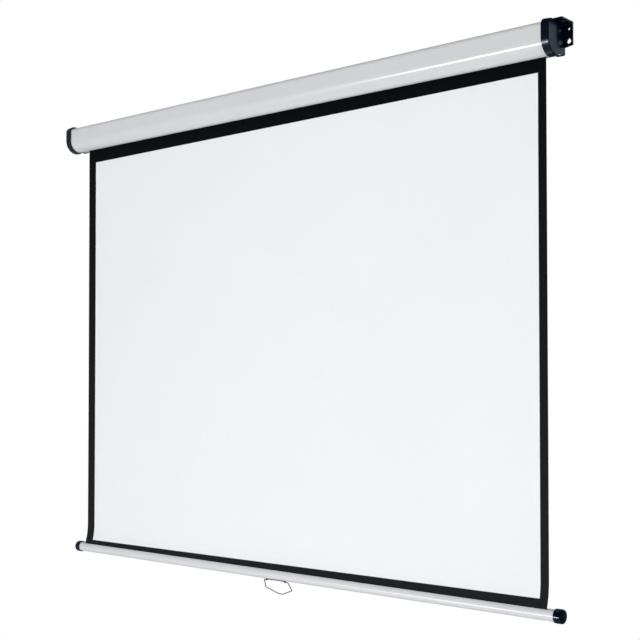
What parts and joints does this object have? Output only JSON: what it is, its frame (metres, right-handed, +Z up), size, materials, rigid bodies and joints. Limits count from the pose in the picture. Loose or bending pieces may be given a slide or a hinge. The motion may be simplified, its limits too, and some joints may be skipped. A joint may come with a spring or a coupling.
{
  "type": "projector screen",
  "caption": "Pull-down projection screen: a long D-shaped metal case with moulded end caps, a spring roller, black-bordered white fabric, a round weight bar and a wire pull handle.",
  "frame": {"origin": "middle of the line of the two wall screws through the mounting ears, on the wall that the screen hangs on", "axes": "+X along the roller to the right as seen from the front, +Y into the wall, +Z up"},
  "size_m": [1.608, 0.0725, 1.2637],
  "materials": {
    "case_paint": "cool white powder coat, satin",
    "black_moulding": "blue-black moulded plastic, semi-gloss",
    "zinc_steel": "bright zinc plate",
    "spring_steel": "oiled spring wire",
    "acetal": "natural acetal",
    "screen_cloth": "matt white projection surface",
    "black_cloth": "matt black coated border",
    "bar_lacquer": "white lacquer on aluminium tube",
    "dark_wire": "blackened steel"
  },
  "bodies": {
    "case": {"case_tube": "case_paint", "left_end_cap": "black_moulding", "right_end_cap": "black_moulding", "left_cap_screw": "zinc_steel", "right_cap_screw": "zinc_steel", "spring_spindle": "zinc_steel", "ratchet_wheel": "zinc_steel", "spring_anchor": "acetal", "idle_bush": "acetal"},
    "roller": {"roller_tube": "zinc_steel", "wound_fabric": "black_cloth", "spring_end_plug": "acetal", "idle_end_plug": "acetal", "gudgeon_pin": "zinc_steel", "torsion_spring": "spring_steel", "pawl_pin_a": "zinc_steel", "pawl_pin_b": "zinc_steel"},
    "pawl_upper": {"pawl_a": "zinc_steel"},
    "pawl_lower": {"pawl_b": "zinc_steel"},
    "bar": {"bar_tube": "bar_lacquer", "left_bar_cap": "black_moulding", "right_bar_cap": "black_moulding", "fabric_hem": "black_cloth", "hem_welt": "acetal", "handle_strap": "dark_wire", "left_strap_rivet": "zinc_steel", "right_strap_rivet": "zinc_steel", "screen_fabric": "screen_cloth"},
    "handle": {"pull_handle": "dark_wire"}
  },
  "joints": [
    {"name": "screen_drop", "type": "slide", "parent": "case", "child": "bar", "axis": [0, 0, 1], "range_m": [0, 1.12], "deforming": ["screen_fabric"]},
    {"name": "roller_spin", "type": "hinge", "parent": "case", "child": "roller", "pos_m": [0, -0.0328, -0.025], "axis": [1, 0, 0], "range_deg": [0, 3420]},
    {"name": "pawl_a_pivot", "type": "hinge", "parent": "roller", "child": "pawl_upper", "pos_m": [-0.7595, -0.0328, -0.0145], "axis": [1, 0, 0], "range_deg": [0, 25]},
    {"name": "pawl_b_pivot", "type": "hinge", "parent": "roller", "child": "pawl_lower", "pos_m": [-0.7595, -0.0328, -0.0355], "axis": [1, 0, 0], "range_deg": [0, 25]},
    {"name": "handle_swing", "type": "hinge", "parent": "bar", "child": "handle", "pos_m": [-0.007, -0.02, -1.2142], "axis": [1, 0, 0], "range_deg": [-141, 87]}
  ],
  "couplings": [
    {"joint": "roller_spin", "follows": "screen_drop", "rad_per_m": 53.295}
  ]
}
